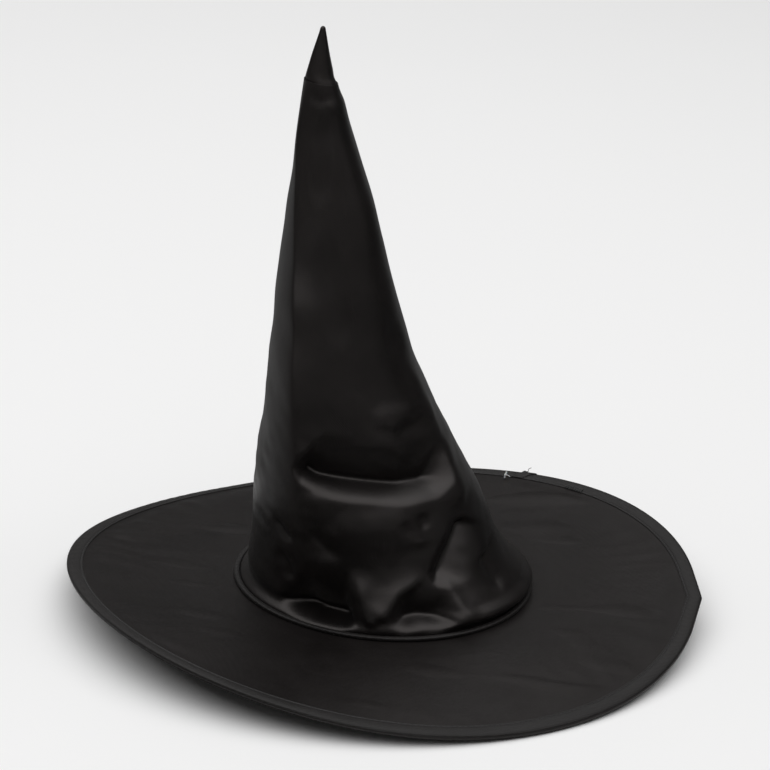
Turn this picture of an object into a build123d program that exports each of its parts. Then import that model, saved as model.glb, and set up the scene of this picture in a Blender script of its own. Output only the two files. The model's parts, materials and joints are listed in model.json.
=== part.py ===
from build123d import *
from math import acos, cos, degrees, radians, sin, sqrt
import os

os.makedirs("parts", exist_ok=True)

# A soft cloth witch hat, standing on its brim. Millimetres, +X right, +Y to the back, +Z up.
# The origin is under the middle of the brim, on the surface that the brim rests on.

# Driving dimensions
BRIM_RADIUS = 195.0  # to the outside of the bound edge
OPENING_RADIUS = 88.0  # head opening, a 553 mm head
WELT_RADIUS = 92.4  # outside of the corded ring round the crown's foot
WELT_HEIGHT = 3.0
BINDING_WIDTH = 10.0
SWEATBAND_HEIGHT = 24.0
TAPE_WALL = 0.6  # the bound edge of the head opening
SEAM_RADIUS = 90.5  # stitched ring that holds the crown and the welt to the brim
THREAD_WIDTH = 0.4

# The brim is nearly flat round the crown and bends into a saddle further out
SADDLE_RISE = 13.0  # height of the edge's two high sides, and depth of its two low ones
SADDLE_TURN = 31.3  # direction of one high side, degrees from +X towards +Y
HOOP_JOINT_TURN = -3.5  # here the hoop's ends meet and push the edge out
HOOP_JOINT_OUT = 2.5
HOOP = (191.8, 193.6, 0.45)  # inner and outer radius, and half its thickness
SLEEVE = (191.0, 194.3, 0.75)  # crimped over the hoop's ends
SLEEVE_BORE = (191.7, 193.7, 0.5)
SLEEVE_LENGTH = 26.0
HOOP_GAP = 0.6
BINDING_LAP_TURN = 61.3  # here the binding's two ends overlap

# Layers of the brim, as heights above and below its middle surface, and where they end
INTERLINING_RADIUS = 190.5
CLOTH_RADIUS = BRIM_RADIUS - 0.6
INNER_RADIUS = OPENING_RADIUS + TAPE_WALL + 0.05
INTERLINING = 0.8
CLOTH = (0.85, 1.2)
BINDING = (1.25, 1.6)
STITCHES = (1.65, 1.85)
BARTACK = (1.9, 2.1)
BRIM_MIDDLE = SADDLE_RISE + BINDING[1]  # height of the middle surface over the floor

# Crown sections: height above the brim's middle surface, centre X, and the oval's half
# length and half width. The crown leans left, and flattens into an oval as it rises.
FOOT = (1.3, 0.0, 87.9, 87.9)
BEND = (149.0, -33.2, 58.0, 39.5)
NOTCH = (311.0, -52.3, 11.6, 10.9)
OVAL_TURN = 63.4  # direction of the oval's length, and of both bend lines
CLOTH_WALL = 0.5
LINING_WALL = 0.5
PLY_GAP = 0.1  # between one ply and the next

# The crown bends on two lines. Above each, a rounded skirt of cloth turns inside the rim.
BEND_RIM_DROP, BEND_SKIRT_DROP, BEND_DOME = 7.0, 33.0, 22.0
TIP_CENTRE = (313.0, -52.8)  # height above the middle surface, and X
TIP_RADIUS, TIP_POINT_RADIUS, TIP_LENGTH = 9.6, 1.5, 34.4
TIP_RIM_DROP, TIP_SKIRT_TURN, TIP_DOME_TURN = 2.0, -50.0, 28.0
LINING_TOP = 298.0

TALL = 40.0  # more than the whole depth of the brim's saddle


def saddle_height(x, y):
    """Height of the brim's middle surface over the floor: a saddle of the fourth power."""
    along, across, _ = Vector(x, y).rotate(Axis.Z, -SADDLE_TURN)
    return BRIM_MIDDLE + SADDLE_RISE * (along**4 - across**4) / BRIM_RADIUS**4


# The same surface as one patch of degree four, a square a little larger than the brim
PATCH_HALF = BRIM_RADIUS + 10
patch_rise = SADDLE_RISE * (PATCH_HALF / BRIM_RADIUS) ** 4
patch_steps = [PATCH_HALF * (i / 2 - 1) for i in range(5)]
middle_surface = Face.make_bezier_surface(
    [
        [(x, y, BRIM_MIDDLE + patch_rise * ((-1) ** i - (-1) ** j)) for j, y in enumerate(patch_steps)]
        for i, x in enumerate(patch_steps)
    ]
).rotate(Axis.Z, SADDLE_TURN)


def saddle_slab(low, high, mode=Mode.ADD):
    """A layer between two heights off the brim's middle surface."""
    extrude(middle_surface.moved(Pos(0, 0, low)), amount=high - low, dir=(0, 0, 1), mode=mode)


def turned(radius, turn):
    """Point on a circle about the brim's middle."""
    return (radius * cos(radians(turn)), radius * sin(radians(turn)))


def pointed_disc(radius, mode=Mode.ADD):
    """A disc whose edge runs straight out to a low point where the hoop's ends meet."""
    half = degrees(acos(radius / (radius + HOOP_JOINT_OUT)))
    tip = turned(radius + HOOP_JOINT_OUT, HOOP_JOINT_TURN)
    sides = [turned(radius, HOOP_JOINT_TURN + side * half) for side in (-1, 1)]
    Circle(radius, mode=mode)
    Polygon((0, 0), sides[0], tip, sides[1], align=None, mode=mode)


def brim_ring(low, high, inner, outer, outside=pointed_disc, hole=pointed_disc):
    """One ring-shaped layer of the brim, between two heights and two radii."""
    with BuildSketch() as plan:
        outside(outer)
        hole(inner, mode=Mode.SUBTRACT)
    with BuildPart(mode=Mode.PRIVATE) as layer:
        saddle_slab(low, high)
        extrude(plan.sketch, amount=TALL, mode=Mode.INTERSECT)
    return layer.part


# Brim: two cloths over a stiff interlining

with BuildPart() as brim_interlining:
    add(brim_ring(-INTERLINING, INTERLINING, INNER_RADIUS, INTERLINING_RADIUS, hole=Circle))

with BuildPart() as brim_top_cloth:
    add(brim_ring(*CLOTH, INNER_RADIUS, CLOTH_RADIUS, hole=Circle))

with BuildPart() as brim_under_cloth:
    add(brim_ring(-CLOTH[1], -CLOTH[0], INNER_RADIUS, CLOTH_RADIUS, hole=Circle))

# Edge: a folded binding that holds a springy hoop

with BuildPart() as brim_edge_binding:
    fold = BRIM_RADIUS - BINDING_WIDTH
    add(brim_ring(-BINDING[1], BINDING[1], fold, BRIM_RADIUS))
    add(brim_ring(-BINDING[0], BINDING[0], fold - 1, BRIM_RADIUS - 0.5), mode=Mode.SUBTRACT)

hoop_joint = Plane.XY.rotated((0, 0, HOOP_JOINT_TURN))

with BuildPart() as brim_hoop:
    add(brim_ring(-HOOP[2], HOOP[2], HOOP[0], HOOP[1]))
    with BuildSketch(hoop_joint):
        with Locations((BRIM_RADIUS, 0)):
            Rectangle(20, HOOP_GAP)
    extrude(amount=TALL, mode=Mode.SUBTRACT)

with BuildPart() as hoop_sleeve:
    for size, mode in ((SLEEVE, Mode.ADD), (SLEEVE_BORE, Mode.SUBTRACT)):
        add(brim_ring(-size[2], size[2], size[0], size[1]), mode=mode)
    with BuildSketch(hoop_joint):
        with Locations((BRIM_RADIUS, 0)):
            Rectangle(20, SLEEVE_LENGTH)
    extrude(amount=TALL, mode=Mode.INTERSECT)

with BuildPart() as binding_stitches:
    row = BRIM_RADIUS - BINDING_WIDTH + 0.9
    add(brim_ring(*STITCHES, row, row + THREAD_WIDTH))
    add(brim_ring(-STITCHES[1], -STITCHES[0], row, row + THREAD_WIDTH))

with BuildPart() as hoop_bartack:
    saddle_slab(*BARTACK)
    with BuildSketch():
        with PolarLocations(187.0, 7, start_angle=46.4, angular_range=4.2, endpoint=True):
            Rectangle(4.0, THREAD_WIDTH)
    extrude(amount=TALL, mode=Mode.INTERSECT)

with BuildPart() as binding_lap_thread:
    lap_x, lap_y = turned(BRIM_RADIUS - 1.6, BINDING_LAP_TURN)
    lap_top = saddle_height(lap_x, lap_y) + BINDING[1] + 0.1
    with BuildSketch(Plane(origin=(lap_x, lap_y, lap_top), z_dir=(0.35, 0.1, 1))):
        Circle(0.35)
    extrude(amount=3.6)

with BuildPart() as tag_pin:
    pin_x, pin_y = turned(182.0, 64.6)
    pin_foot = saddle_height(pin_x, pin_y) + CLOTH[1] + 0.1
    with BuildSketch(Plane.XY.offset(pin_foot)):
        with Locations((pin_x, pin_y)):
            Circle(0.5)
    extrude(amount=4.6)
    with BuildSketch(Plane(origin=(pin_x, pin_y, pin_foot + 1.8), z_dir=(1, 0, 0))):
        Circle(0.28)
    extrude(amount=2.6)

# Head opening: a bound edge, a corded welt round the crown's foot, and their seam

with BuildPart() as opening_tape:
    with BuildSketch(Plane.XY.offset(BRIM_MIDDLE - 2.4)):
        Circle(OPENING_RADIUS + TAPE_WALL)
        Circle(OPENING_RADIUS, mode=Mode.SUBTRACT)
    extrude(amount=3.6)

with BuildPart() as crown_base_welt:
    add(brim_ring(BINDING[0], BINDING[0] + WELT_HEIGHT, INNER_RADIUS, WELT_RADIUS, Circle, Circle))

with BuildPart() as base_seam_stitches:
    under = -BINDING[0]
    half = THREAD_WIDTH / 2
    add(brim_ring(under - 0.2, under, SEAM_RADIUS - half, SEAM_RADIUS + half, Circle, Circle))


# Crown: straight-sided stretches of an oval cone


def station(height, low, high):
    """Centre X and half sizes of the crown at a height between two sections."""
    share = (height - low[0]) / (high[0] - low[0])
    return [a + share * (b - a) for a, b in zip(low[1:], high[1:])]


def oval(height, centre, half_length, half_width):
    """One oval section of the crown."""
    with BuildSketch(Plane(origin=(centre, 0, BRIM_MIDDLE + height))) as section:
        Ellipse(half_length, half_width, rotation=OVAL_TURN)
    return section.sketch.face()


def cone_ply(low, high, bottom, top, inset, wall):
    """One ply of the crown between two heights, lying a given depth under its outside."""
    with BuildPart(mode=Mode.PRIVATE) as ply:
        for depth, mode in ((inset, Mode.ADD), (inset + wall, Mode.SUBTRACT)):
            ends = []
            for height in (bottom, top):
                centre, half_length, half_width = station(height, low, high)
                ends.append(oval(height, centre, half_length - depth, half_width - depth))
            loft(ends, mode=mode)
    return ply.part


def keep_back(low, high, half_span):
    """Trim the part to a strip up the back of the crown, over its leaning middle line."""
    corners = [
        (section[1] + side * half_span, BRIM_MIDDLE + section[0])
        for section, side in ((low, -1), (low, 1), (high, 1), (high, -1))
    ]
    with BuildSketch(Plane.XZ) as strip:
        Polygon(*corners, align=None)
    extrude(strip.sketch, amount=-200, mode=Mode.INTERSECT)


LINING_INSET = CLOTH_WALL + PLY_GAP
INSIDE = LINING_INSET + LINING_WALL + PLY_GAP
BEND_RIM = BEND[0] - BEND_RIM_DROP
TIP_RIM = TIP_CENTRE[0] - TIP_RIM_DROP

with BuildPart() as crown_lower_cloth:
    add(cone_ply(FOOT, BEND, FOOT[0], BEND_RIM, 0, CLOTH_WALL))

with BuildPart() as crown_lower_lining:
    add(cone_ply(FOOT, BEND, FOOT[0], BEND_RIM - 4, LINING_INSET, LINING_WALL))

with BuildPart() as sweatband:
    add(cone_ply(FOOT, BEND, FOOT[0] + 1, FOOT[0] + 1 + SWEATBAND_HEIGHT, INSIDE, 0.6))

with BuildPart() as sweatband_stitches:
    add(cone_ply(FOOT, BEND, 4.0, 4.4, INSIDE + 0.65, 0.2))

with BuildPart() as size_label:
    add(cone_ply(FOOT, BEND, 8.0, 22.0, INSIDE + 0.9, 0.3))
    with BuildSketch():
        with Locations((0, 100)):
            Rectangle(30, 200)
    extrude(amount=100, mode=Mode.INTERSECT)

with BuildPart() as lower_seam_stitches:
    add(cone_ply(FOOT, BEND, 30.0, BEND_RIM - 8, INSIDE, 0.25))
    keep_back(FOOT, BEND, THREAD_WIDTH / 2)


# The skirt is a spheroid about the bend line, so it slides within the rim as it turns.
# The cone goes on from its shoulder.
shoulder_scale = sqrt(1 - (BEND_DOME / BEND[3]) ** 2)
SHOULDER = (BEND[0] + BEND_DOME, BEND[1], BEND[2] * shoulder_scale, BEND[3] * shoulder_scale)

bend_plane = Plane(
    origin=(BEND[1], 0, BRIM_MIDDLE + BEND[0]),
    x_dir=(cos(radians(OVAL_TURN)), sin(radians(OVAL_TURN)), 0),
)


def spheroid(half_length, half_width):
    """A ball stretched along the bend line, about the bend's middle."""
    with BuildPart(mode=Mode.PRIVATE) as ball:
        Sphere(half_width)
        scale(by=(half_length / half_width, 1, 1))
    return bend_plane.location * ball.part


with BuildPart() as crown_upper_cloth:
    add(spheroid(BEND[2], BEND[3]))
    add(spheroid(BEND[2] - CLOTH_WALL, BEND[3] - CLOTH_WALL), mode=Mode.SUBTRACT)
    with BuildSketch(bend_plane.offset(-BEND_SKIRT_DROP)):
        Circle(100)
    extrude(amount=BEND_SKIRT_DROP + BEND_DOME, mode=Mode.INTERSECT)
    add(cone_ply(SHOULDER, NOTCH, SHOULDER[0], TIP_RIM, 0, CLOTH_WALL))

with BuildPart() as crown_upper_lining:
    add(cone_ply(SHOULDER, NOTCH, SHOULDER[0] + 2, LINING_TOP, LINING_INSET, LINING_WALL))

with BuildPart() as upper_seam_stitches:
    add(cone_ply(SHOULDER, NOTCH, SHOULDER[0] + 4, LINING_TOP - 60, INSIDE, 0.25))
    keep_back(SHOULDER, NOTCH, THREAD_WIDTH / 2)

with BuildPart() as crown_tip_cloth:
    tip_plane = Plane(
        origin=(TIP_CENTRE[1], 0, BRIM_MIDDLE + TIP_CENTRE[0]), x_dir=(1, 0, 0), z_dir=(0, -1, 0)
    )
    with BuildSketch(tip_plane):
        for wall, mode in ((0, Mode.ADD), (CLOTH_WALL, Mode.SUBTRACT)):
            with BuildLine():
                swing = TIP_DOME_TURN - TIP_SKIRT_TURN
                ball = CenterArc((0, 0), TIP_RADIUS - wall, TIP_SKIRT_TURN, swing)
                point_height = TIP_LENGTH - TIP_POINT_RADIUS
                side = Line(ball @ 1, (TIP_POINT_RADIUS - wall, point_height))
                point = CenterArc((0, point_height), TIP_POINT_RADIUS - wall, 0, 90)
                Polyline(point @ 1, (0, 0), ball @ 0)
            make_face(mode=mode)
    revolve(axis=Axis(tip_plane.origin, (0, 0, 1)))

pieces = {
    # the brim
    "brim_interlining": brim_interlining,
    "brim_top_cloth": brim_top_cloth,
    "brim_under_cloth": brim_under_cloth,
    "brim_edge_binding": brim_edge_binding,
    "brim_hoop": brim_hoop,
    "hoop_sleeve": hoop_sleeve,
    "binding_stitches": binding_stitches,
    "hoop_bartack": hoop_bartack,
    "binding_lap_thread": binding_lap_thread,
    "tag_pin": tag_pin,
    # the head opening
    "opening_tape": opening_tape,
    "crown_base_welt": crown_base_welt,
    "base_seam_stitches": base_seam_stitches,
    # the crown below its bend
    "crown_lower_cloth": crown_lower_cloth,
    "crown_lower_lining": crown_lower_lining,
    "sweatband": sweatband,
    "sweatband_stitches": sweatband_stitches,
    "size_label": size_label,
    "lower_seam_stitches": lower_seam_stitches,
    # the crown above its bend, and its tip
    "crown_upper_cloth": crown_upper_cloth,
    "crown_upper_lining": crown_upper_lining,
    "upper_seam_stitches": upper_seam_stitches,
    "crown_tip_cloth": crown_tip_cloth,
}
for name, piece in pieces.items():
    piece.part.label = name
    export_step(piece.part, f"parts/{name}.step")
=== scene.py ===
import json
from math import cos, pi, radians, sin

import bmesh
import bpy
import numpy as np
from mathutils import Matrix, Vector


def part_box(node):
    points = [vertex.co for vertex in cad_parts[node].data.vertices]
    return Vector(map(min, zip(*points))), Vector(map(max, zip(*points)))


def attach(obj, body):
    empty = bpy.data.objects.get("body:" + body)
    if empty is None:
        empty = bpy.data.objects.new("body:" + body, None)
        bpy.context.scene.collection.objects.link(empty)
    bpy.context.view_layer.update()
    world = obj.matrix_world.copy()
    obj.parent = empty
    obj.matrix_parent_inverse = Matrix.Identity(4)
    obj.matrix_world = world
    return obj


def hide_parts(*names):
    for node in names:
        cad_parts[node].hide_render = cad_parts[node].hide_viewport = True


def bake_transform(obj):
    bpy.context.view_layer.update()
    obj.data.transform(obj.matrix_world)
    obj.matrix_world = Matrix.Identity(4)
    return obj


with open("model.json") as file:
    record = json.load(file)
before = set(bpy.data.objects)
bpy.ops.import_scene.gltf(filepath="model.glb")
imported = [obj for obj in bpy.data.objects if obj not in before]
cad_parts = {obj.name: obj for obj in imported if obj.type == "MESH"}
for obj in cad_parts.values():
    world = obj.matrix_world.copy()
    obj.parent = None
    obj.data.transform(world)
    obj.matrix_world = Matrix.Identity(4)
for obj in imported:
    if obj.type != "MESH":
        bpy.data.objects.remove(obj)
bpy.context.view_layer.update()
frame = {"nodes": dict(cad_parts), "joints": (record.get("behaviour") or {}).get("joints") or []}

# Shapes are worked out in millimetres, in the frame of the CAD model, and turned to metres as
# each mesh is made. A rise is a height off the brim's middle surface, and a height in the crown
# is above that surface at the middle of the hat.
MM = 0.001

# The brim and its cloth
CLOTH_RISE, CLOTH_THICKNESS = 1.2, 0.33
BRIM_RADIUS = -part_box("brim_edge_binding")[0].x / MM
BRIM_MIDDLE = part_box("opening_tape")[1].z / MM - CLOTH_RISE
CLOTH_RADIUS = BRIM_RADIUS - 0.6
OPENING_RADIUS = 88.65
SADDLE_RISE, SADDLE_TURN = 13.0, radians(31.3)
HOOP_JOINT_OUT, HOOP_JOINT_TURN = 2.5, radians(-3.5)

# The binding, and where its two ends overlap
BINDING_WIDTH, STITCH_INSET = 10.0, 8.9
LAP_TURN = radians(61.3)

# Sewing thread: spacing and length of the stitches, and the thread's radius
STITCH_PITCH, STITCH_LENGTH, THREAD = 3.2, 2.5, 0.24

rng = np.random.default_rng(7)

# ------------------------------------------------------------------ camera

scene = bpy.context.scene
camera = bpy.data.objects.new("camera", bpy.data.cameras.new("camera"))
scene.collection.objects.link(camera)
scene.camera = camera
camera.data.lens = 139.2
camera.data.sensor_width = 36
camera.data.clip_end = 50
CAMERA_ELEVATION, CAMERA_ROLL, CAMERA_DISTANCE = radians(20.41), radians(3.31), 1.8
AIM = Vector((-0.0055, 0, 0.1428))
toward = Vector((0, cos(CAMERA_ELEVATION), -sin(CAMERA_ELEVATION)))
turn_to_view = toward.to_track_quat("-Z", "Y").to_matrix().to_4x4()
camera.matrix_world = (
    Matrix.Translation(AIM - toward * CAMERA_DISTANCE)
    @ turn_to_view
    @ Matrix.Rotation(CAMERA_ROLL, 4, "Z")
)

# ------------------------------------------------------------------ materials

WAVE_PERIOD = pi / 10  # of Blender's wave texture at a scale of 1, in metres
SATIN_TINT = (1, 0.93, 0.91, 1)  # of its reflections


def material(name, colour, roughness, **inputs):
    """A principled material; a further input's name has underscores for its spaces."""
    mat = bpy.data.materials.new(name)
    mat.use_nodes = True
    shader = mat.node_tree.nodes["Principled BSDF"]
    shader.inputs["Base Color"].default_value = (*colour, 1)
    shader.inputs["Roughness"].default_value = roughness
    for key, value in inputs.items():
        shader.inputs[key.replace("_", " ")].default_value = value
    return mat


def to_shader(mat, output, name):
    """Links a node's output to an input of the material's shader."""
    mat.node_tree.links.new(output, mat.node_tree.nodes["Principled BSDF"].inputs[name])


def node(mat, kind, settings=(), **inputs):
    """Adds one node. An input is called by name or, as i0 or i1, by number, and is given a value
    or another node's output."""
    made = mat.node_tree.nodes.new("ShaderNode" + kind)
    for key, value in dict(settings).items():
        setattr(made, key, value)
    for key, value in inputs.items():
        numbered = key[0] == "i" and key[1:].isdigit()
        socket = made.inputs[int(key[1:]) if numbered else key]
        if isinstance(value, bpy.types.NodeSocket):
            mat.node_tree.links.new(value, socket)
        else:
            socket.default_value = value
    return made


def mottle(mat, scale, detail=3.0):
    """Smooth noise over the object, from 0 to 1."""
    where = node(mat, "TexCoord").outputs["Object"]
    return node(mat, "TexNoise", Vector=where, Scale=scale, Detail=detail).outputs[0]


def spread(mat, value, low, high):
    """Takes the noise's middle range to a range from low to high."""
    return node(mat, "MapRange", i0=value, i1=0.3, i2=0.7, i3=low, i4=high).outputs[0]


def tint(mat, factor, dark, light):
    """A colour between dark and light."""
    mixed = node(mat, "Mix", {"data_type": "RGBA"}, i0=factor, i6=(*dark, 1), i7=(*light, 1))
    return mixed.outputs[2]


def bumps(mat, *layers):
    """Chains bump nodes into the shader's normal; a layer is a height and its depth in metres."""
    normal = None
    for height, depth in layers:
        bump = node(mat, "Bump", Strength=1.0, Distance=depth, Height=height)
        if normal:
            mat.node_tree.links.new(normal, bump.inputs["Normal"])
        normal = bump.outputs[0]
    to_shader(mat, normal, "Normal")


def weave(mat, pitch):
    """Warp and weft, as crossed sets of fine ridges; any two of them cross on the surface."""
    where = node(mat, "TexCoord").outputs["Object"]
    sets = []
    for axis in ("X", "Y", "Z"):
        settings = {"bands_direction": axis}
        wave = node(mat, "TexWave", settings, Vector=where, Scale=WAVE_PERIOD / pitch)
        sets.append(wave.outputs["Fac"])
    pair = node(mat, "Math", {"operation": "ADD"}, i0=sets[0], i1=sets[1]).outputs[0]
    return node(mat, "Math", {"operation": "ADD"}, i0=pair, i1=sets[2]).outputs[0]


def cloth(name, dark, light, roughness, crumple=0.0001, pitch=0.0004, grain=0.00002, **inputs):
    """Woven cloth: uneven colour, uneven gloss, slight crumpling and fine threads. The depths of
    the crumpling and of the threads' grain, and the threads' pitch, are in metres."""
    mat = material(name, light, sum(roughness) / 2, **inputs)
    to_shader(mat, tint(mat, spread(mat, mottle(mat, 22), 0, 1), dark, light), "Base Color")
    to_shader(mat, spread(mat, mottle(mat, 45, 4), *roughness), "Roughness")
    bumps(mat, (mottle(mat, 90, 3), crumple), (weave(mat, pitch), grain))
    return mat


satin = cloth(
    "black_satin", (0.004, 0.0034, 0.0033), (0.0072, 0.006, 0.0058), (0.29, 0.38), grain=0.000012,
    Specular_IOR_Level=0.42, Specular_Tint=SATIN_TINT, Sheen_Weight=0.02, Sheen_Roughness=0.35,
)
brim_satin = cloth(
    "brim_satin", (0.006, 0.005, 0.0048), (0.0092, 0.0078, 0.0075), (0.34, 0.45), grain=0.000015,
    Specular_IOR_Level=0.15, Specular_Tint=SATIN_TINT, Sheen_Weight=0.02, Sheen_Roughness=0.4,
)
tape_cloth = cloth(
    "binding_tape", (0.0075, 0.0064, 0.0062), (0.012, 0.0103, 0.01), (0.4, 0.5), pitch=0.0006,
    grain=0.00004, Specular_IOR_Level=0.25, Sheen_Weight=0.05, Sheen_Roughness=0.4,
)
lining_cloth = cloth(
    "lining", (0.011, 0.0105, 0.0105), (0.017, 0.016, 0.016), (0.5, 0.62), Sheen_Weight=0.1,
)
felt = cloth(
    "interlining", (0.02, 0.019, 0.019), (0.035, 0.034, 0.033), (0.75, 0.9), crumple=0.0003,
    pitch=0.0009,
)
grosgrain = cloth(
    "sweatband", (0.013, 0.0125, 0.0125), (0.02, 0.019, 0.019), (0.5, 0.62), pitch=0.0009,
    grain=0.00008, Sheen_Weight=0.15,
)
label_cloth = cloth(
    "label", (0.62, 0.61, 0.58), (0.72, 0.71, 0.68), (0.5, 0.6), pitch=0.0005, Sheen_Weight=0.1,
)
thread_finish = cloth(
    "thread", (0.006, 0.0057, 0.0057), (0.011, 0.0105, 0.0105), (0.5, 0.65), crumple=0.00003,
    pitch=0.0003, Sheen_Weight=0.2,
)
hoop_steel = cloth(
    "spring_steel", (0.3, 0.3, 0.31), (0.42, 0.42, 0.43), (0.25, 0.4), crumple=0.00001, pitch=0.0002,
    grain=0.000003, Metallic=1.0,
)
sleeve_metal = cloth(
    "sleeve_metal", (0.4, 0.4, 0.4), (0.52, 0.52, 0.5), (0.3, 0.45), crumple=0.00002, pitch=0.0003,
    grain=0.000003, Metallic=1.0,
)
nylon = cloth(
    "white_nylon", (0.86, 0.86, 0.84), (0.93, 0.93, 0.92), (0.25, 0.35), crumple=0.00002, pitch=0.0003,
    grain=0.000002, Subsurface_Weight=0.2,
)

# The nodes of the CAD model that are kept as they are, repainted
for kept, finish in {
    "brim_interlining": felt,
    "brim_hoop": hoop_steel,
    "hoop_sleeve": sleeve_metal,
    "opening_tape": tape_cloth,
}.items():
    mesh = frame["nodes"][kept].data
    if not mesh.materials:
        mesh.materials.append(finish)
    for place in frame["nodes"][kept].material_slots:
        place.material = finish

# ------------------------------------------------------------------ mesh tools

SAME_PLACE = 1e-7  # metres
STITCH_RINGS, STITCH_SIDES, TUBE_SIDES = 6, 6, 12
STITCH_TAPER = 0.02  # a stitch's end is this share of its middle, as an area

# How many sine waves make up the waviness, how steep one is, and how high all of them reach
WAVE_COUNT, WAVE_STEEPNESS, WAVE_HEIGHT = 14, 1.7, 3.7


def add_mesh(name, points, faces, finish, body):
    """A smooth mesh from points in millimetres, riding on a body unless body is None."""
    mesh = bpy.data.meshes.new(name)
    mesh.from_pydata((np.asarray(points, float) * MM).tolist(), [], faces)
    shape = bmesh.new()
    shape.from_mesh(mesh)
    bmesh.ops.remove_doubles(shape, verts=shape.verts, dist=SAME_PLACE)
    bmesh.ops.recalc_face_normals(shape, faces=shape.faces)
    shape.to_mesh(mesh)
    shape.free()
    mesh.shade_smooth()
    mesh.materials.append(finish)
    obj = bpy.data.objects.new(name, mesh)
    scene.collection.objects.link(obj)
    if body:
        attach(obj, body)
    return obj


def grid_faces(rows, columns, loop_rows, loop_columns, first=0):
    """Four-sided faces over a grid of points."""
    i, j = np.meshgrid(
        np.arange(rows if loop_rows else rows - 1),
        np.arange(columns if loop_columns else columns - 1),
        indexing="ij",
    )
    ni, nj = (i + 1) % rows, (j + 1) % columns
    corners = [i * columns + j, i * columns + nj, ni * columns + nj, ni * columns + j]
    return (np.stack(corners, -1).reshape(-1, 4) + first).tolist()


def grid(name, points, finish, body, loop_rows=True):
    """A mesh over a grid of points, shaped (rows, columns, 3), whose columns close."""
    faces = grid_faces(*points.shape[:2], loop_rows, True)
    return add_mesh(name, points.reshape(-1, 3), faces, finish, body)


def shell(name, outside, inside, finish, body):
    """A closed shell between two layers that run all the way round."""
    return grid(name, np.concatenate([outside, inside[::-1]]), finish, body)


def patch(name, outside, inside, finish, body):
    """A small sheet between two layers, closed on all four edges."""
    points = np.concatenate([outside, inside[::-1]])
    rows, columns = points.shape[:2]
    faces = grid_faces(rows, columns, True, False)
    for column in (0, columns - 1):
        for k in range(rows // 2 - 1):
            corners = (k, k + 1, rows - 2 - k, rows - 1 - k)
            faces.append([row * columns + column for row in corners])
    return add_mesh(name, points.reshape(-1, 3), faces, finish, body)


def unit(vectors):
    """The vectors at a length of 1."""
    return vectors / np.linalg.norm(vectors, axis=-1, keepdims=True)


def tube_parts(line, radii, side, up, sides, first=0):
    """Points and faces of a round tube with closed ends, whose rings lie along side and up."""
    turns = np.arange(sides) * 2 * pi / sides
    ring = np.cos(turns)[:, None] * side[..., None, :] + np.sin(turns)[:, None] * up[..., None, :]
    points = line[:, None] + ring * np.asarray(radii, float)[:, None, None]
    last = first + (len(line) - 1) * sides
    faces = grid_faces(len(line), sides, False, True, first)
    faces += [[first + j for j in range(sides)][::-1], [last + j for j in range(sides)]]
    return points.reshape(-1, 3), faces


def tube(name, path, radii, finish, body):
    """A round tube along a short path, with a radius at each point."""
    path = np.asarray(path, float)
    ahead = unit(np.gradient(path, axis=0))
    side = unit(np.cross(ahead, (0.3, 0.2, 0.93)))
    points, faces = tube_parts(path, radii, side, np.cross(side, ahead), TUBE_SIDES)
    return add_mesh(name, points, faces, finish, body)


def stitches(name, path, closed, body):
    """Stitches along a path: each is a rounded bar that thins where it dips into the cloth."""
    if closed:
        path = np.vstack([path, path[:1]])
    steps = np.linalg.norm(np.diff(path, axis=0), axis=1)
    travel = np.concatenate([[0], np.cumsum(steps)])
    count = int(travel[-1] / STITCH_PITCH)
    true_pitch = travel[-1] / count
    shares = np.linspace(0, 1, STITCH_RINGS)
    radii = THREAD * np.sqrt(np.clip(1 - (2 * shares - 1) ** 4, STITCH_TAPER, 1))
    points, faces = [], []
    for k in range(count):
        where = (k + 0.5) * true_pitch + STITCH_LENGTH * (shares - 0.5)
        line = np.stack([np.interp(where, travel, path[:, axis]) for axis in range(3)], -1)
        ahead = unit(line[-1] - line[0])
        side = unit(np.cross(ahead, (0, 0, 1) if abs(ahead[2]) < 0.8 else (1, 0, 0)))
        first = k * STITCH_RINGS * STITCH_SIDES
        bar = tube_parts(line, radii, side, np.cross(side, ahead), STITCH_SIDES, first)
        points.append(bar[0])
        faces += bar[1]
    return add_mesh(name, np.concatenate(points), faces, thread_finish, body)


def smooth_step(value, low, high):
    """0 below low, 1 above high, smooth between."""
    t = np.clip((value - low) / (high - low), 0, 1)
    return t * t * (3 - 2 * t)


def normals(points):
    """Unit normals of a grid that closes along its columns."""
    along = np.roll(points, -1, 1) - np.roll(points, 1, 1)
    crossed = np.cross(along, np.gradient(points, axis=0))
    return crossed / np.maximum(np.linalg.norm(crossed, axis=-1, keepdims=True), 1e-9)


WAVES = [(rng.normal(size=3), rng.uniform(0, 2 * pi)) for _ in range(WAVE_COUNT)]


def waviness(points, length):
    """Smooth noise from about -1 to 1 that changes over a given length."""
    per_mm = 2 * pi / length / WAVE_STEEPNESS
    return sum(np.sin(points @ direction * per_mm + phase) for direction, phase in WAVES) / WAVE_HEIGHT


# ------------------------------------------------------------------ brim


def saddle(x, y):
    """Height of the brim's middle surface over the floor."""
    along = x * cos(SADDLE_TURN) + y * sin(SADDLE_TURN)
    across = y * cos(SADDLE_TURN) - x * sin(SADDLE_TURN)
    return BRIM_MIDDLE + SADDLE_RISE * (along**4 - across**4) / BRIM_RADIUS**4


def reach(turn, radius):
    """Radius of a layer of the brim, pushed out to a low point where the hoop's ends meet."""
    half = np.arccos(radius / (radius + HOOP_JOINT_OUT))
    off = np.abs((turn - HOOP_JOINT_TURN + pi) % (2 * pi) - pi)
    return np.where(off < half, radius / np.cos(half - np.minimum(off, half)), radius)


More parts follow.
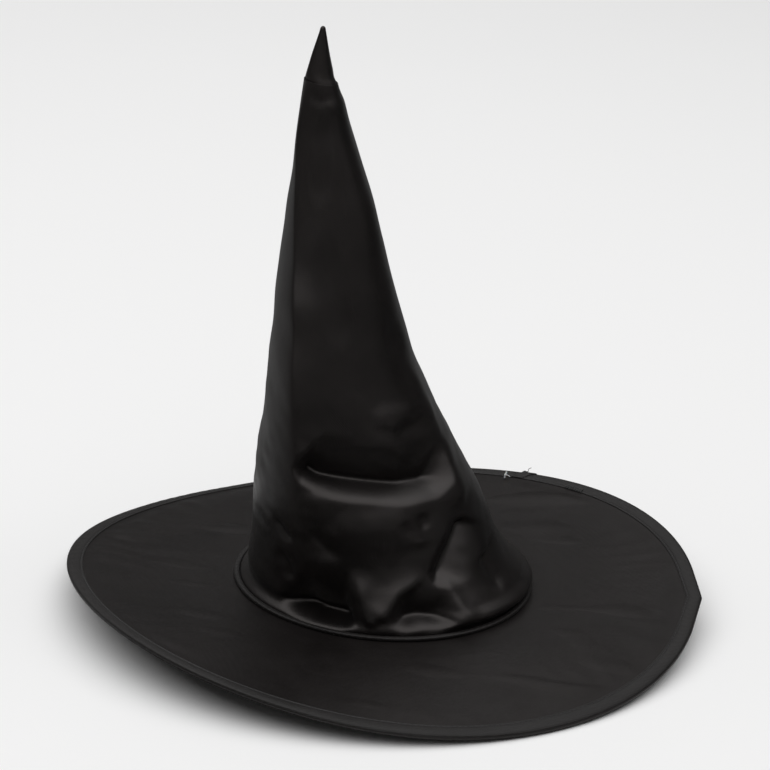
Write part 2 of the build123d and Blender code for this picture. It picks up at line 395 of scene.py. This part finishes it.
def on_brim(turn, radius, rise):
    """Points at given turns and radii, a given height off the middle surface."""
    turn, radius, rise = np.broadcast_arrays(turn, radius, rise)
    x, y = radius * np.cos(turn), radius * np.sin(turn)
    return np.stack([x, y, saddle(x, y) + rise], -1)


def full_turn(count):
    """Evenly spaced turns once round the hat."""
    return np.arange(count) * 2 * pi / count


# The cloth's rows are closer together under the binding
UNDER_BINDING = 184.0
BRIM_RADII = np.concatenate(
    [np.linspace(OPENING_RADIUS, UNDER_BINDING, 74), np.linspace(184.6, CLOTH_RADIUS, 16)]
)


def puckers(turn, radius, phase):
    """Height of the small wrinkles in a brim cloth, never under its flat surface."""
    flat = np.stack(np.broadcast_arrays(radius * np.cos(turn), radius * np.sin(turn), 0 * turn), -1)
    swirl = turn + 0.0012 * (radius - 180) + 0.02 * waviness(flat, 55)
    patches = smooth_step(waviness(flat + phase, 60), -0.35, 0.8)
    left = smooth_step(-flat[..., 0], -90, 120)
    near_edge = smooth_step(radius, 128, 172) * (1 - smooth_step(radius, 181, 185))
    radial = 0.5 + 0.5 * np.sin(swirl * 62 + 5 * waviness(flat, 90) + phase)
    mid = smooth_step(radius, 96, 116) * (1 - smooth_step(radius, 172, 184))
    broad = 0.5 + 0.5 * waviness(flat + 3 * phase, 70)
    creases = np.maximum(0, waviness(flat * (1, 3.2, 1) + 9 * phase, 60) - 0.55)
    return (
        (0.16 + 0.26 * left) * patches * near_edge * radial**1.5
        + 0.55 * np.clip(broad, 0, 1) * mid
        + 0.8 * creases * mid
    )


def brim_cloth(name, side, phase, node_name):
    """One brim cloth: side is 1 on top and -1 underneath."""
    turn, radius = np.meshgrid(full_turn(900), BRIM_RADII)
    push = reach(turn, CLOTH_RADIUS) / CLOTH_RADIUS - 1
    pushed = radius * (1 + push * smooth_step(radius, 150, CLOTH_RADIUS))
    lift = puckers(turn, radius, phase)
    far = on_brim(turn, pushed, side * (CLOTH_RISE + lift))
    near = on_brim(turn, pushed, side * (CLOTH_RISE - CLOTH_THICKNESS + lift))
    obj = shell(name, far, near, brim_satin, "brim")
    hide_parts(node_name)


brim_cloth("brim_top", 1, 0.7, "brim_top_cloth")
brim_cloth("brim_underside", -1, 2.9, "brim_under_cloth")

# The binding's section as points inwards from the edge and off the middle surface. The outer
# path goes from the top inner edge round the brim's edge to the under inner edge, with a groove
# where the stitches pull it down, and the inner path comes back.
BINDING_PATH = [
    (BINDING_WIDTH, 1.26), (BINDING_WIDTH, 1.52), (9.6, 1.74), (9.25, 1.6), (STITCH_INSET, 1.3),
    (8.55, 1.6), (8.0, 1.86), (6.6, 2.05), (5.0, 2.1), (3.4, 2.04), (1.9, 1.86), (0.9, 1.5),
    (0.3, 0.95), (0.03, 0.3), (0.03, -0.3), (0.3, -0.9), (0.9, -1.3), (1.9, -1.5), (3.4, -1.58),
    (5.0, -1.6), (6.6, -1.6), (8.0, -1.58), (8.6, -1.48), (STITCH_INSET, -1.34), (9.2, -1.46),
    (9.7, -1.56), (BINDING_WIDTH, -1.5), (BINDING_WIDTH, -1.26),
]
BINDING_INSIDE = [
    (7.5, -1.24), (3.0, -1.26), (0.75, -1.12), (0.45, -0.6), (0.45, 0.6), (0.75, 1.12), (3.0, 1.26),
    (7.5, 1.24),
]
BINDING_UNDERSIDE = -1.6


def binding_surface(turn, inward, rise, puff=1.0):
    """Points of the binding: its edge wanders a little and its top leg is slightly rippled."""
    turn, inward, rise = np.broadcast_arrays(turn, inward, rise)
    flat = np.stack([180 * np.cos(turn), 180 * np.sin(turn), 6 * inward], -1)
    slant = np.sin(turn * 140 + inward * 0.5 + 4 * waviness(flat, 120))
    leg = smooth_step(inward, 0.2, 3) * (1 - smooth_step(inward, 8.0, 8.6))
    slanted = slant * smooth_step(waviness(flat + 5, 80), -0.5, 0.9)
    ripple = 0.1 * puff * leg * (slanted + waviness(flat, 30))
    wander = 0.25 * (waviness(flat, 130) - 1)
    edge = reach(turn, BRIM_RADIUS) + wander * smooth_step(8 - inward, 0, 6)
    rise = rise + np.where(rise > 1.3, ripple, 0)
    eased = np.maximum(rise + 0.5 * np.abs(ripple), BINDING_UNDERSIDE)
    rise = np.where(rise < -1.3, eased, rise)
    return on_brim(turn, edge - inward, rise)


section = np.array(BINDING_PATH + BINDING_INSIDE)
binding = grid(
    "edge_binding",
    binding_surface(full_turn(1500)[None, :], section[:, :1], section[:, 1:]),
    tape_cloth, "brim",
)
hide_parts("brim_edge_binding")

# Its one row of stitches, seen from above and from below
row_top = binding_surface(full_turn(1400), STITCH_INSET, 1.3, 0) + (0, 0, 0.14)
row_under = binding_surface(full_turn(1400), STITCH_INSET, -1.34, 0) - (0, 0, 0.06)
top_stitches = stitches("binding_stitches_top", row_top, True, "brim")
stitches("binding_stitches_under", row_under, True, "brim")
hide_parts("binding_stitches")

# The overlap of the binding's ends: a short slanted patch over the binding, with one raised corner
lap_path = np.array(BINDING_PATH[1:14])
lap_inward, lap_rise = lap_path[:, :1], lap_path[:, 1:]
lap_shares = np.linspace(-1, 1, 15)[None, :]
LAP_HALF, LAP_SLANT, LAP_PLY = 4.2 / BRIM_RADIUS, 0.016, 0.35
lap_turn = LAP_TURN + LAP_HALF * lap_shares + LAP_SLANT * (lap_inward - 5) / 5
lift = 0.17 + 0.9 * smooth_step(lap_shares, 0.45, 1) * smooth_step(3.5 - lap_inward, 0, 3)
patch(
    "binding_lap",
    binding_surface(lap_turn, lap_inward - 0.42, lap_rise + lift + LAP_PLY, 0),
    binding_surface(lap_turn, lap_inward - 0.1, lap_rise + lift, 0),
    tape_cloth, "brim",
)

# The dark thread that stands up from it
lap_start = on_brim(LAP_TURN, BRIM_RADIUS - 1.2, 2.2)
lap_end = tube(
    "binding_lap_end",
    [lap_start + (0.9 * s + 0.5 * sin(3 * s), 0.3 * s, 1.15 * s) for s in np.linspace(0, 2.6, 9)],
    np.linspace(0.3, 0.16, 9), thread_finish, "brim",
)
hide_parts("binding_lap_thread")

# A zigzag bar tack over the stitch row
TACK_START, TACK_SPAN, TACK_CORNERS, TACK_THREAD = radians(46.4), radians(4.2), 15, 0.27
tack_corners = []
for k, turn in enumerate(TACK_START + TACK_SPAN * np.linspace(0, 1, TACK_CORNERS)):
    out, rise = (2.3, 2.3) if k % 2 else (-1.9, 1.75)
    tack_corners.append(on_brim(turn, BRIM_RADIUS - STITCH_INSET + out, rise))
tack_path = [
    a + (b - a) * share + (0, 0, 0.35 * sin(pi * share))
    for a, b in zip(tack_corners[:-1], tack_corners[1:])
    for share in np.arange(6) / 6
]
tack_radii = np.full(len(tack_path), TACK_THREAD)
tack = tube("bar_tack", tack_path, tack_radii, thread_finish, "brim")
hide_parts("hoop_bartack")

# The nylon pin that held the swing tag: a flat-ended bar with its cut filament
PIN_TURN, PIN_RADIUS = radians(64.6), 182.0
pin_foot = on_brim(PIN_TURN, PIN_RADIUS, 1.7)
pin_shares = np.linspace(0, 1, 14)
pin_bar = tube(
    "tag_pin_bar",
    [pin_foot + (1.2 * s, 0.2 * s, 4.4 * s) for s in pin_shares],
    0.55 + 0.35 * np.exp(-((pin_shares - 0.5) / 0.18) ** 2), nylon, "brim",
)
tube(
    "tag_pin_filament",
    [pin_foot + (0.6 + 3.0 * s, 0.2, 2.2 - 1.2 * s * s) for s in pin_shares],
    0.26 + 0.25 * (1 - pin_shares) ** 3, nylon, "brim",
)
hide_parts("tag_pin")

# The welt round the crown's foot: a strip folded over a cord
WELT_INNER, WELT_OUTER, WELT_FOOT, WELT_TOP, WELT_WALL = 88.68, 92.4, 1.25, 3.9, 0.35
WELT_MIDDLE = (WELT_INNER + WELT_OUTER) / 2
welt_turns = full_turn(720)
welt_flat = np.stack([90 * np.cos(welt_turns), 90 * np.sin(welt_turns), 0 * welt_turns], -1)


def squared(value):
    """Takes a sine or a cosine towards the sides of a square."""
    return np.sign(value) * np.abs(value) ** 0.75


def welt_skin(depth):
    """The welt's rounded strip from foot to foot, a given depth under its outside."""
    around = np.linspace(radians(-60), radians(240), 24)[:, None]
    half = (WELT_OUTER - WELT_INNER) / 2 - depth
    tall = (WELT_TOP - WELT_FOOT) / 2 - depth
    twist = np.sin(welt_turns * 110 + around * 1.3 + 3 * waviness(welt_flat, 60))
    wrinkle = 0.09 * (twist * smooth_step(waviness(welt_flat, 45), -0.6, 0.8) - 1)
    out = half * squared(np.cos(around)) * (1 - 0.04 * (1 + twist))
    rise = (WELT_TOP + WELT_FOOT) / 2 + tall * squared(np.sin(around))
    return on_brim(welt_turns, WELT_MIDDLE + out, rise + wrinkle * np.clip(np.sin(around), 0, 1))


welt = shell("crown_welt", welt_skin(0), welt_skin(WELT_WALL), tape_cloth, "brim")
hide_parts("crown_base_welt")

base_seam = stitches("base_seam", on_brim(full_turn(900), WELT_MIDDLE, -1.34), True, "brim")
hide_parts("base_seam_stitches")

# ------------------------------------------------------------------ crown

# Sections: height, centre X, half length, half width, direction of the length, and how
# sharply the cloth is folded at the two ends of the length, from 0 to 1
SECTIONS = [
    (1.3, 0.0, 88.3, 88.3, 60, 0.0),
    (4.2, 0.2, 88.3, 88.3, 60, 0.0),
    (7.5, 4.2, 88.0, 88.0, 60, 0.0),
    (15, 0.4, 85.6, 84.6, 60, 0.05),
    (30, -5.1, 82.5, 77.6, 60, 0.25),
    (60, -12.4, 81, 70.5, 59, 0.5),
    (90, -20.2, 76, 59.5, 62, 0.62),
    (120, -27.1, 69, 49.8, 63.5, 0.72),
    (149, -33.2, 61.5, 42.0, 64.5, 0.8),
    (180, -37.1, 51.5, 36.2, 62.5, 0.8),
    (220, -41.6, 36.5, 30.5, 54, 0.8),
    (260, -45.9, 25.3, 21.8, 42, 0.78),
    (290, -50.4, 17.6, 13.6, 36, 0.7),
    (303, -51.6, 14.0, 12.1, 35, 0.5),
    (309, -52.4, 11.9, 11.0, 35, 0.3),
    (315, -53.0, 9.95, 9.85, 35, 0.0),
]
SECTION_HEIGHTS, *SECTION_VALUES = zip(*SECTIONS)
COLLAR, COLLAR_X = SECTIONS[-1][:2]


def curve_through(knots, values, where):
    """A smooth curve through the values at the knots."""
    knots, values = np.asarray(knots, float), np.asarray(values, float)
    slopes = np.gradient(values, knots)
    k = np.clip(np.searchsorted(knots, where) - 1, 0, len(knots) - 2)
    span = knots[k + 1] - knots[k]
    t = np.clip((where - knots[k]) / span, 0, 1)
    return (
        values[k] * (1 + 2 * t) * (1 - t) ** 2
        + values[k + 1] * t * t * (3 - 2 * t)
        + slopes[k] * span * t * (1 - t) ** 2
        - slopes[k + 1] * span * t * t * (1 - t)
    )


def folded_oval(height, centre, along, across, turn, sharpness, direction):
    """Points of ovals whose two ends are folded sharp: their long axes point in a direction."""
    across = across * (1 - sharpness + sharpness * np.abs(np.sin(turn)))
    x = centre + along * np.cos(direction) - across * np.sin(direction)
    y = along * np.sin(direction) + across * np.cos(direction)
    return np.stack(np.broadcast_arrays(x, y, BRIM_MIDDLE + height), -1)


def crown_base(height, turn):
    """The crown's smooth surface: a leaning cone, flattened so that it folds along two edges."""
    centre, half_length, half_width, direction, sharpness = (
        curve_through(SECTION_HEIGHTS, values, height) for values in SECTION_VALUES
    )
    along, across = half_length * np.cos(turn), half_width * np.sin(turn)
    return folded_oval(height, centre, along, across, turn, sharpness, np.radians(direction))


def route_distance(x, z, route):
    """Distance to a route of (x, z) points, which side of it, and the share of the way along."""
    route = np.array(route, float)
    lengths = np.linalg.norm(np.diff(route, axis=0), axis=1)
    starts = np.concatenate([[0], np.cumsum(lengths)])
    best = np.full(x.shape, 1e9)
    side, share = np.zeros(x.shape), np.zeros(x.shape)
    for k, (a, b) in enumerate(zip(route[:-1], route[1:])):
        step = (b - a) / lengths[k]
        px, pz = x - a[0], z - a[1]
        t = np.clip(px * step[0] + pz * step[1], 0, lengths[k])
        gap = np.hypot(px - t * step[0], pz - t * step[1])
        closer = gap < best
        best = np.where(closer, gap, best)
        side = np.where(closer, np.sign(step[0] * pz - step[1] * px), side)
        share = np.where(closer, (starts[k] + t) / starts[-1], share)
    return best, side, share


def fold(x, z, route, height, left, right, crisp=True, ends=(0.3, 0.3)):
    """A fold along a route, seen from the front. Its height is negative for a hollow, left and
    right are its widths on the two sides of its direction, and it fades over a share at each end."""
    gap, side, share = route_distance(x, z, route)
    taper = smooth_step(share, -0.001, ends[0]) * (1 - smooth_step(share, 1 - ends[1], 1.001))
    t = np.clip(gap / (np.where(side > 0, left, right) * (0.35 + 0.65 * taper)), 0, 1)
    shape = (1 - t) ** 1.7 if crisp else (1 - t * t) ** 2
    return height * shape * taper


# Folds by the x and the height of their routes, on the front and on the back
FRONT_FOLDS = [
    # the ridge down the right of the front, and the flat it leaves beside it
    dict(
        route=[(2, 156), (17, 131), (24, 115), (32, 97), (39, 80), (48, 64)],
        height=3.0, left=14, right=9, ends=(0.5, 0.1),
    ),
    dict(route=[(4, 124), (14, 106), (24, 90)], height=-1.6, left=12, right=10, crisp=False),
    dict(route=[(47, 66), (56, 48), (66, 30)], height=1.6, left=10, right=12),
    # the dark valley that runs down from it, and the curved edge below it
    dict(
        route=[(48, 61), (43, 51), (37, 41), (32, 27)],
        height=-7.5, left=19, right=9, ends=(0.12, 0.2),
    ),
    dict(route=[(34, 38), (39, 25), (49, 14), (62, 9)], height=3.0, left=7, right=9),
    # where the front sags: a deep hollow, its sharp lower edge, and the bulge below
    dict(
        route=[(-58, 98), (-42, 91), (-16, 87), (8, 83), (38, 82)],
        height=-14.0, left=28, right=7, ends=(0.1, 0.1),
    ),
    dict(route=[(-54, 82), (-22, 78), (8, 76), (34, 75)], height=3.0, left=8, right=26, crisp=False),
    dict(route=[(-40, 60), (-6, 60), (22, 58)], height=3.0, left=18, right=20, crisp=False),
    # two pockets at the foot, with a flap of cloth between them and a flared lip below
    dict(route=[(-62, 11), (-40, 8), (-14, 8)], height=-17.0, left=33, right=6, ends=(0.3, 0.2)),
    dict(route=[(-20, 40), (-13, 26), (-4, 6)], height=3.5, left=14, right=7, ends=(0.4, 0.15)),
    dict(route=[(26, 36), (10, 26), (-2, 10)], height=3.0, left=7, right=14, ends=(0.3, 0.15)),
    dict(route=[(4, 9), (24, 11), (50, 8)], height=-13.0, left=22, right=6, ends=(0.25, 0.35)),
    dict(route=[(-50, 4), (-22, 4), (18, 5)], height=1.0, left=6, right=3, crisp=False),
    # small dimples and pleats
    dict(route=[(70, 40), (63, 36), (57, 33)], height=-2.8, left=5, right=7),
    dict(route=[(57, 38), (66, 25), (74, 14)], height=-2.8, left=7, right=5),
    dict(route=[(-68, 62), (-61, 54), (-55, 50)], height=-1.8, left=7, right=5),
    dict(route=[(-64, 44), (-57, 34), (-54, 22)], height=-2.4, left=9, right=7),
    dict(route=[(-47, 62), (-34, 50), (-28, 44)], height=-1.6, left=9, right=9),
    dict(route=[(8, 68), (15, 58)], height=-2.0, left=5, right=5),
    dict(route=[(19, 70), (25, 60)], height=-2.2, left=5, right=5),
    dict(route=[(14, 55), (24, 53)], height=1.5, left=5, right=6),
    # a dent and a crease under the notch, and faint dents up the front
    dict(route=[(-62, 309), (-52, 306), (-42, 309)], height=-1.0, left=4, right=6),
    dict(route=[(-50, 306), (-44, 301), (-36, 299)], height=0.7, left=4, right=5),
    dict(route=[(-50, 300), (-48, 268), (-50, 240)], height=-1.0, left=7, right=9, crisp=False),
    dict(route=[(-46, 236), (-40, 200), (-28, 160)], height=-1.5, left=10, right=12, crisp=False),
    dict(route=[(-6, 176), (0, 162), (2, 150)], height=-1.3, left=5, right=6, crisp=False),
    dict(route=[(-16, 128), (2, 122), (20, 122)], height=1.5, left=10, right=8, crisp=False),
]
BACK_FOLDS = [
    dict(route=[(-48, 104), (-18, 98), (14, 104)], height=-6.0, left=26, right=10, ends=(0.2, 0.2)),
    dict(route=[(-40, 78), (-12, 76), (20, 80)], height=3.5, left=14, right=20, crisp=False),
    dict(route=[(-50, 16), (-22, 12), (4, 16)], height=-7.0, left=22, right=8, ends=(0.25, 0.25)),
    dict(route=[(26, 44), (34, 26), (40, 8)], height=-4.5, left=10, right=12),
    dict(route=[(-58, 140), (-44, 112), (-30, 92)], height=2.6, left=12, right=9),
    dict(route=[(-40, 214), (-34, 180), (-22, 150)], height=-1.6, left=10, right=12, crisp=False),
]

# Rows of the crown, closer together where the folds are, with one just under the collar's rim
FOOT, FOLDS_TOP, RIM_DEPTH = 1.3, 120, 0.15
ROWS, FOLD_ROWS, COLUMNS = 250, 130, 300
heights = np.concatenate([
    np.linspace(FOOT, FOLDS_TOP, FOLD_ROWS)[:-1],
    np.linspace(FOLDS_TOP, COLLAR - RIM_DEPTH, ROWS - FOLD_ROWS),
    [COLLAR],
])
HEIGHT, TURN = np.meshgrid(heights, full_turn(COLUMNS), indexing="ij")
base = crown_base(HEIGHT, TURN)
sideways = unit(normals(base) * (1, 1, 0))
middle_row = base[ROWS // 2]
from_centre = middle_row - middle_row.mean(0)
outwards = np.sign(np.sum(sideways[ROWS // 2] * from_centre, -1).mean())
sideways *= outwards

dents = np.zeros(HEIGHT.shape)
for folds, facing in ((FRONT_FOLDS, -1), (BACK_FOLDS, 1)):
    share = smooth_step(facing * sideways[..., 1], 0.0, 0.4)
    for one in folds:
        dents += share * fold(base[..., 0], HEIGHT, **one)
above_foot = smooth_step(HEIGHT, 8, 40) * (1 - 0.6 * smooth_step(HEIGHT, 200, 300))
dents += 0.45 * waviness(base, 45) * above_foot
crumpled = smooth_step(HEIGHT, 8, 30) * (1 - smooth_step(HEIGHT, 100, 180))
dents += 0.16 * waviness(base, 14) * crumpled
dents *= smooth_step(HEIGHT, FOOT, 4.5) * (1 - smooth_step(HEIGHT, 309, 314))


def soften(values):
    """Takes the jagged steps off the dents' sharpest edges."""
    for _ in range(2):
        values = (np.roll(values, 1, 1) + 2 * values + np.roll(values, -1, 1)) / 4
        inner = (values[:-2] + 2 * values[1:-1] + values[2:]) / 4
        values = np.vstack([values[:1], inner, values[-1:]])
    return values


dents = soften(dents)

# The seam up the back: a narrow groove, and beside it the ridge of the two edges' plies
SEAM_ROW = 60
seam_column = int(np.argmax(sideways[SEAM_ROW, :, 1]))
travel = np.cumsum(np.linalg.norm(np.roll(base, -1, 1) - base, axis=-1), axis=1)
from_seam = travel - travel[:, seam_column:seam_column + 1]
groove = -0.5 * np.exp(-((from_seam / 1.3) ** 2)) + 0.35 * np.exp(-(((from_seam - 4.0) / 2.6) ** 2))
pulls = 0.5 + 0.5 * np.sin(HEIGHT * 0.55 + 2 * waviness(base, 30))
groove += 0.22 * pulls * np.exp(-((from_seam / 7) ** 2))
dents += groove * smooth_step(HEIGHT, 3, 9) * (1 - smooth_step(HEIGHT, 300, 310))

# The collar's rim rises towards the left
RIM_TILT = 0.12
crown_outside = base + sideways * dents[..., None]
crown_outside[..., 2] += RIM_TILT * (COLLAR_X - base[..., 0]) * smooth_step(HEIGHT, 302, COLLAR)


def layer_under(points, depth):
    """The surface a given depth inside another, along its own normals."""
    return points - outwards * normals(points) * depth


def eased_inside(values, reach_columns, reach_rows):
    """The dents as a stiffer inner layer takes them: never outside the given ones, and smoother."""
    low = values
    for step in range(-reach_columns, reach_columns + 1):
        low = np.minimum(low, np.roll(values, step, 1))
    kept = low
    for step in range(1, reach_rows + 1):
        low = np.minimum(low, np.minimum(
            np.vstack([kept[step:], kept[-1:].repeat(step, 0)]),
            np.vstack([kept[:1].repeat(step, 0), kept[:-step]]),
        ))
    smooth = sum(np.roll(low, step, 1) for step in range(-reach_columns, reach_columns + 1))
    smooth = smooth / (2 * reach_columns + 1)
    padded = np.pad(smooth, ((reach_rows, reach_rows), (0, 0)), mode="edge")
    total = sum(padded[k:k + len(smooth)] for k in range(2 * reach_rows + 1))
    return total / (2 * reach_rows + 1)


# The joints' places in the crown
joint_heights = {j["name"]: j["pos_m"][2] / MM - BRIM_MIDDLE for j in frame["joints"]}
BEND_HEIGHT, BEND_REACH = joint_heights["crown_bend"], 52.0
bend_x = float(curve_through(SECTION_HEIGHTS, SECTION_VALUES[0], BEND_HEIGHT))


def blend_between(obj, lower, upper, x, low, high):
    """Bakes the piece's placement into its mesh; lower, upper, x, low and high are not used."""
    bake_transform(obj)


def bend_with_crown(obj):
    """Hands the piece to blend_between, with the brim, the crown and the heights on both sides of the
    bend line.
    """
    low, high = BEND_HEIGHT - BEND_REACH, BEND_HEIGHT + BEND_REACH
    blend_between(obj, "brim", "crown", bend_x, low, high)


# The cloth thins out towards the collar's rim
crown_wall = 0.4 - 0.3 * smooth_step(HEIGHT, 310, COLLAR)[..., None]
crown_inside = layer_under(crown_outside, crown_wall)
crown = shell("crown_cloth", crown_outside, crown_inside, satin, None)
bend_with_crown(crown)
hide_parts("crown_lower_cloth", "crown_upper_cloth")

LINING_GAP, LINING_THICKNESS, LINING_TOP = 1.0, 0.3, 297
inner_base = base + sideways * (eased_inside(dents, 3, 3) - LINING_GAP)[..., None]
lining_rows = (heights > 2.4) & (heights < LINING_TOP)
lining_outside = inner_base[lining_rows]
lining_inside = layer_under(lining_outside, LINING_THICKNESS)
lining = shell("crown_lining", lining_outside, lining_inside, lining_cloth, None)
bend_with_crown(lining)
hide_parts("crown_lower_lining", "crown_upper_lining")

# Seam stitches inside, along the lining's back
seam_rows = (heights > 30) & (heights < 238)
seam_line = (inner_base - sideways * 0.62)[seam_rows, seam_column]
seam = stitches("crown_seam", seam_line, False, None)
bend_with_crown(seam)
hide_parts("lower_seam_stitches", "upper_seam_stitches")

# ------------------------------------------------------------------ sweatband and label

band_rows = (heights > 2.3) & (heights < 26.5)
band_dents = eased_inside(dents, 7, 6)
band_base, band_out, band_dent, band_height = (
    values[band_rows] for values in (base, sideways, band_dents, HEIGHT)
)


def band_layer(depth):
    """The sweatband's surface, a given depth inside the crown."""
    return band_base + band_out * (band_dent - depth)[..., None]


ribs = 0.04 * np.sin(band_height * 3.5)
band = shell("sweatband_tape", band_layer(1.9), band_layer(2.5 - ribs), grosgrain, "brim")
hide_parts("sweatband")
stitch_row = int(np.argmin(np.abs(band_height[:, 0] - 4.2)))
band_seam = stitches("sweatband_seam", band_layer(2.62)[stitch_row], True, "brim")
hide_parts("sweatband_stitches")

# The blank size label lies flat on the sweatband, at the back
label_columns = np.where((np.abs(band_base[0, :, 0]) < 15) & (band_base[0, :, 1] > 0))[0]
label_rows = np.where((band_height[:, 0] > 8) & (band_height[:, 0] < 22))[0]
label_place = np.ix_(label_rows, label_columns)
label = patch(
    "blank_label", band_layer(2.75)[label_place], band_layer(3.05)[label_place],
    label_cloth, "brim",
)
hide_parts("size_label")

# ------------------------------------------------------------------ tip

# Heights: the ball's middle, where the cone stands clear of the ball, and where it is rounded off
TIP_MIDDLE, TIP_CLEAR, TIP_END = 313.0, 316.0, 345.0
TIP_BALL, TIP_END_RADIUS, TIP_NOSE = 9.55, 1.7, 2.45
TIP_SLOPE, TIP_WALL, TIP_TURN = 0.24, 0.4, radians(35)
TIP_X, TIP_BEND = -52.8, (315.5, 332.0)
tip_heights = np.concatenate([
    np.linspace(304.5, 318, 20), np.linspace(319, 346.6, 34), [347.1, 347.35, TIP_END + TIP_NOSE]
])


def tip_section(height, turn, depth):
    """The tip's surface: a ball about the bend below, and a slightly folded cone above."""
    ball = np.sqrt(np.maximum(TIP_BALL**2 - (height - TIP_MIDDLE) ** 2, 0))
    cone = TIP_END_RADIUS + (TIP_END - height) * TIP_SLOPE
    nose = TIP_END_RADIUS * np.sqrt(np.clip(1 - ((height - TIP_END) / TIP_NOSE) ** 2, 0, 1))
    above = np.where(height > TIP_END, nose, cone)
    radius = np.where(height > TIP_CLEAR, above, np.minimum(ball, cone))
    radius = np.maximum(radius - depth, 0)
    share = smooth_step(height, 314, 322)
    leaning = 0.6 * smooth_step(height, 328, 347) - 1.1 * smooth_step(height, 313, 318)
    along = radius * (1 + 0.16 * share) * np.cos(turn)
    across = radius * (1 - 0.08 * share) * np.sin(turn)
    return folded_oval(height, TIP_X + leaning, along, across, turn, 0.55 * share, TIP_TURN)


tip_turns = full_turn(72)[None, :]
tip_out = tip_section(tip_heights[:, None], tip_turns, 0)
tip_in = tip_section(tip_heights[:-2, None], tip_turns, TIP_WALL)
tip_in[-1] = tip_in[-1].mean(0)
tip = grid(
    "tip_cloth", np.concatenate([tip_in[::-1], tip_out]), satin, None, loop_rows=False
)
blend_between(tip, "crown", "tip", TIP_X, *TIP_BEND)
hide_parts("crown_tip_cloth")

# ------------------------------------------------------------------ studio

world = bpy.data.worlds.new("studio")
scene.world = world
world.use_nodes = True
world.node_tree.nodes["Background"].inputs["Color"].default_value = (1, 0.99, 0.98, 1)
world.node_tree.nodes["Background"].inputs["Strength"].default_value = 0.1


def matte(name, dark, light, scale, roughness, gloss):
    """A grey finish that drifts between two tones."""
    mat = material(name, (light,) * 3, roughness, Specular_IOR_Level=gloss)
    to_shader(mat, tint(mat, mottle(mat, scale), (dark,) * 3, (light,) * 3), "Base Color")
    return mat


def panel(name, points, faces, finish):
    """A surface of the studio, in metres, that is no part of the hat."""
    mesh = bpy.data.meshes.new(name)
    mesh.from_pydata(points, [], faces)
    mesh.materials.append(finish)
    obj = bpy.data.objects.new(name, mesh)
    scene.collection.objects.link(obj)
    return obj


FLOOR, FLOOR_HALF = -0.0005, 6
panel(
    "floor",
    [(x * FLOOR_HALF, y * FLOOR_HALF, FLOOR) for x, y in ((-1, -1), (1, -1), (1, 1), (-1, 1))],
    [(0, 1, 2, 3)], matte("pale_floor", 0.92, 0.94, 1.5, 0.9, 0.1),
)


def soft_light(name, place, target, size, power):
    """A square area light that faces a point."""
    light = bpy.data.lights.new(name, "AREA")
    light.shape = "SQUARE"
    light.size = size
    light.energy = power
    obj = bpy.data.objects.new(name, light)
    scene.collection.objects.link(obj)
    obj.location = place
    obj.rotation_euler = (Vector(target) - Vector(place)).to_track_quat("-Z", "Y").to_euler()


soft_light("overhead", (-0.2, 0.1, 2.6), (-0.1, 0.2, 0), 6, 158)


def card(name, first, last, edges, tone):
    """A panel round the hat, between two turns in degrees, that only reflections see. Its edges
    are rings, each with a radius and a height."""
    around = np.radians(np.arange(first, last + 1, 5))
    obj = panel(
        name, [(r * cos(t), r * sin(t), z) for r, z in edges for t in around],
        grid_faces(len(edges), len(around), False, False),
        matte(name + "_card", 0.9 * tone, 1.1 * tone, 3, 1.0, 0.0),
    )
    obj.visible_camera = obj.visible_diffuse = obj.visible_shadow = False


# Grey cards stand in for the darker room round a white table, so the cloth keeps its contrast
CARD_NEAR, CARD_WALL, CARD_FAR, CARD_RISE = 0.22, 1.2, 2.6, 0.001  # metres
near_edge, wall_foot, far_edge = ((r, CARD_RISE) for r in (CARD_NEAR, CARD_WALL, CARD_FAR))
wall_top = (CARD_WALL, 1.0)
card("front_floor_card", -130, -5, (near_edge, wall_foot), 0.02)
card("front_wall_card", -130, -5, (wall_foot, wall_top), 0.3)
card("right_card", -5, 60, (near_edge, wall_foot, wall_top), 0.05)
card("back_card", 60, 120, (near_edge, far_edge), 0.2)
card("left_card", 120, 230, (near_edge, far_edge), 0.21)

scene.view_settings.view_transform = "Standard"
